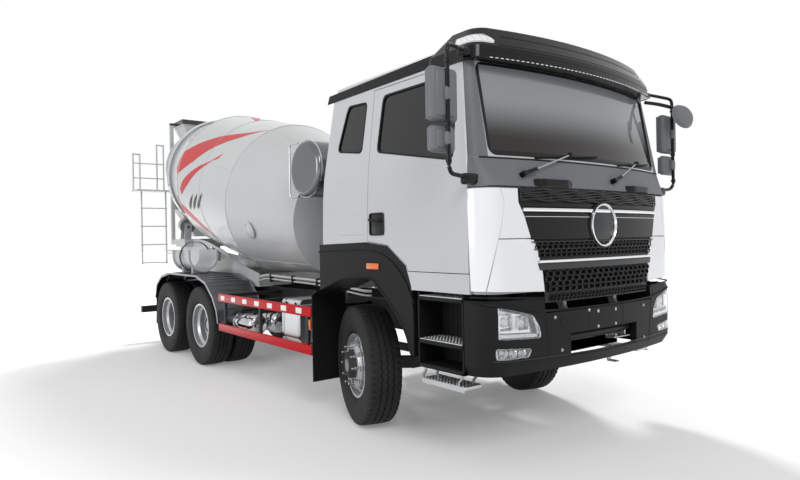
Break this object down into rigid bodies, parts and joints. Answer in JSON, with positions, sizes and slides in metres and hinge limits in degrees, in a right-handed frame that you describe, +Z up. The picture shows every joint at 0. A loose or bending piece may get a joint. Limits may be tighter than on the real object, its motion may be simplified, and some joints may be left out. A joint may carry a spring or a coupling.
{
  "type": "concrete mixer truck",
  "caption": "Three-axle concrete mixer truck with a tilting cab, a tilted revolving drum, a charge hopper over a swinging discharge chute, and steered front wheels.",
  "frame": {"origin": "on the ground at the middle of the overall length and width", "axes": "+X forward, +Y to the truck's left, +Z up"},
  "size_m": [8.9899, 3.2, 3.935],
  "materials": {
    "cab_paint": "silver-white enamel, glossy",
    "white_paint": "white enamel, glossy",
    "grille_black": "glossy black with honeycomb mesh",
    "dark_plastic": "grained charcoal plastic",
    "visor_black": "glossy black plastic",
    "mirror_grey": "grey plastic heads, mirror glass at their backs",
    "glass": "tinted glass",
    "lamp": "clear lens over bright reflectors",
    "seat_fabric": "woven grey fabric",
    "dash_plastic": "grained dark grey plastic",
    "wheel_rubber": "black polyurethane",
    "frame_steel": "black chassis paint",
    "cast_dark": "painted casting",
    "tyre": "black rubber",
    "rim_silver": "silver enamel",
    "guard_red": "red enamel, glossy",
    "tank_aluminium": "brushed aluminium",
    "fender_steel": "ribbed polished sheet",
    "drum_paint": "light grey enamel with red angular bands",
    "pale_paint": "light grey enamel",
    "hopper_black": "black lining and edge over painted sheet",
    "roller_steel": "turned steel"
  },
  "bodies": {
    "chassis": {"frame_rails": "frame_steel", "cross_members": "frame_steel", "tow_lug": "frame_steel", "underrun_bar": "frame_steel", "hopper_posts": "pale_paint", "front_bumper": "dark_plastic", "front_lamps": "lamp", "engine": "cast_dark", "front_axle": "cast_dark", "leaf_springs": "frame_steel", "drive_axles": "cast_dark", "mudguards": "dark_plastic", "cab_steps": "dark_plastic", "rear_fenders": "fender_steel", "side_guards": "guard_red", "fuel_tank": "tank_aluminium", "side_tank": "tank_aluminium", "air_tanks": "frame_steel", "front_pedestal": "frame_steel", "rear_pedestal": "pale_paint", "water_tank": "pale_paint", "charge_hopper": "pale_paint", "discharge_funnel": "white_paint", "ladder": "pale_paint", "spare_chute": "cast_dark"},
    "cab": {"cab_shell": "cab_paint", "cab_windows": "glass", "cowl": "dark_plastic", "corner_fairings": "white_paint", "cab_arches": "dark_plastic", "sun_visor": "visor_black", "mirrors": "mirror_grey", "seats": "seat_fabric", "dashboard": "dash_plastic"},
    "door_right": {"door_right": "cab_paint", "door_glass_right": "glass"},
    "door_left": {"door_left": "cab_paint", "door_glass_left": "glass"},
    "front_flap": {"grille_panel": "grille_black"},
    "steering_wheel": {"steering_wheel": "wheel_rubber"},
    "knuckle_right": {"knuckle_right": "cast_dark"},
    "knuckle_left": {"knuckle_left": "cast_dark"},
    "tie_rod": {"tie_rod": "frame_steel"},
    "drum": {"mixing_drum": "drum_paint"},
    "roller_right": {"roller_right": "roller_steel"},
    "roller_left": {"roller_left": "roller_steel"},
    "chute_swing": {"chute_swivel": "frame_steel"},
    "chute": {"main_chute": "cast_dark"},
    "wheel_front_left": {"tyre_front_left": "tyre", "rim_front_left": "rim_silver"},
    "wheel_front_right": {"tyre_front_right": "tyre", "rim_front_right": "rim_silver"},
    "wheel_rear_left_1": {"tyre_rear_left_1": "tyre", "rim_rear_left_1": "rim_silver"},
    "wheel_rear_left_2": {"tyre_rear_left_2": "tyre", "rim_rear_left_2": "rim_silver"},
    "wheel_rear_right_1": {"tyre_rear_right_1": "tyre", "rim_rear_right_1": "rim_silver"},
    "wheel_rear_right_2": {"tyre_rear_right_2": "tyre", "rim_rear_right_2": "rim_silver"}
  },
  "joints": [
    {"name": "cab_tilt", "type": "hinge", "parent": "chassis", "child": "cab", "pos_m": [4.373, 0, 1.05], "axis": [0, 1, 0], "range_deg": [0, 45]},
    {"name": "door_right_hinge", "type": "hinge", "parent": "cab", "child": "door_right", "pos_m": [4.211, -1.243, 1.9], "axis": [0, 0, 1], "range_deg": [0, 68]},
    {"name": "door_left_hinge", "type": "hinge", "parent": "cab", "child": "door_left", "pos_m": [4.211, 1.243, 1.9], "axis": [0, 0, -1], "range_deg": [0, 68]},
    {"name": "front_flap_hinge", "type": "hinge", "parent": "cab", "child": "front_flap", "pos_m": [4.462, 0, 2.037], "axis": [0, -1, 0], "range_deg": [0, 70]},
    {"name": "steer_right", "type": "hinge", "parent": "chassis", "child": "knuckle_right", "pos_m": [2.705, -0.83, 0.5425], "axis": [0, 0, 1], "range_deg": [-21, 55]},
    {"name": "steer_left", "type": "hinge", "parent": "chassis", "child": "knuckle_left", "pos_m": [2.705, 0.83, 0.5425], "axis": [0, 0, 1], "range_deg": [-21, 55]},
    {"name": "tie_rod_pivot", "type": "hinge", "parent": "knuckle_right", "child": "tie_rod", "pos_m": [2.49461, -0.76568, 0.45], "axis": [0, 0, 1], "range_deg": [-55, 21]},
    {"name": "steering_wheel_turn", "type": "hinge", "parent": "cab", "child": "steering_wheel", "pos_m": [3.665, -0.6, 2.09], "axis": [-0.8125, 0, 0.5829], "range_deg": [-378, 990]},
    {"name": "wheel_front_right_spin", "type": "hinge", "parent": "knuckle_right", "child": "wheel_front_right", "pos_m": [2.64799, -1.01648, 0.5425], "axis": [0.2924, 0.9563, 0], "continuous": true},
    {"name": "wheel_front_left_spin", "type": "hinge", "parent": "knuckle_left", "child": "wheel_front_left", "pos_m": [2.76201, 1.01648, 0.5425], "axis": [0.2924, 0.9563, 0], "continuous": true},
    {"name": "wheel_rear_right_1_spin", "type": "hinge", "parent": "chassis", "child": "wheel_rear_right_1", "pos_m": [-1.065, -1.085, 0.5425], "axis": [0, 1, 0], "continuous": true},
    {"name": "wheel_rear_left_1_spin", "type": "hinge", "parent": "chassis", "child": "wheel_rear_left_1", "pos_m": [-1.065, 1.085, 0.5425], "axis": [0, 1, 0], "continuous": true},
    {"name": "wheel_rear_right_2_spin", "type": "hinge", "parent": "chassis", "child": "wheel_rear_right_2", "pos_m": [-2.425, -1.085, 0.5425], "axis": [0, 1, 0], "continuous": true},
    {"name": "wheel_rear_left_2_spin", "type": "hinge", "parent": "chassis", "child": "wheel_rear_left_2", "pos_m": [-2.425, 1.085, 0.5425], "axis": [0, 1, 0], "continuous": true},
    {"name": "drum_spin", "type": "hinge", "parent": "chassis", "child": "drum", "pos_m": [0.805, 0, 1.98], "axis": [-0.9755, 0, 0.2198], "continuous": true},
    {"name": "roller_right_spin", "type": "hinge", "parent": "chassis", "child": "roller_right", "pos_m": [-3.31583, -0.58837, 1.97993], "axis": [-0.9755, 0, 0.2198], "continuous": true},
    {"name": "roller_left_spin", "type": "hinge", "parent": "chassis", "child": "roller_left", "pos_m": [-3.31583, 0.58837, 1.97993], "axis": [-0.9755, 0, 0.2198], "continuous": true},
    {"name": "chute_swing_turn", "type": "hinge", "parent": "chassis", "child": "chute_swing", "pos_m": [-4.225, 0, 1.12], "axis": [0, 0, 1], "range_deg": [0, 130]},
    {"name": "chute_tilt", "type": "hinge", "parent": "chute_swing", "child": "chute", "pos_m": [-4.225, 0, 1.53], "axis": [1, 0, 0], "range_deg": [-25, 20]}
  ],
  "couplings": [
    {"joint": "steer_left", "follows": "steer_right", "ratio": 1},
    {"joint": "tie_rod_pivot", "follows": "steer_right", "ratio": -1},
    {"joint": "steering_wheel_turn", "follows": "steer_right", "ratio": 18},
    {"joint": "roller_right_spin", "follows": "drum_spin", "ratio": -7.3077},
    {"joint": "roller_left_spin", "follows": "drum_spin", "ratio": -7.3077}
  ]
}
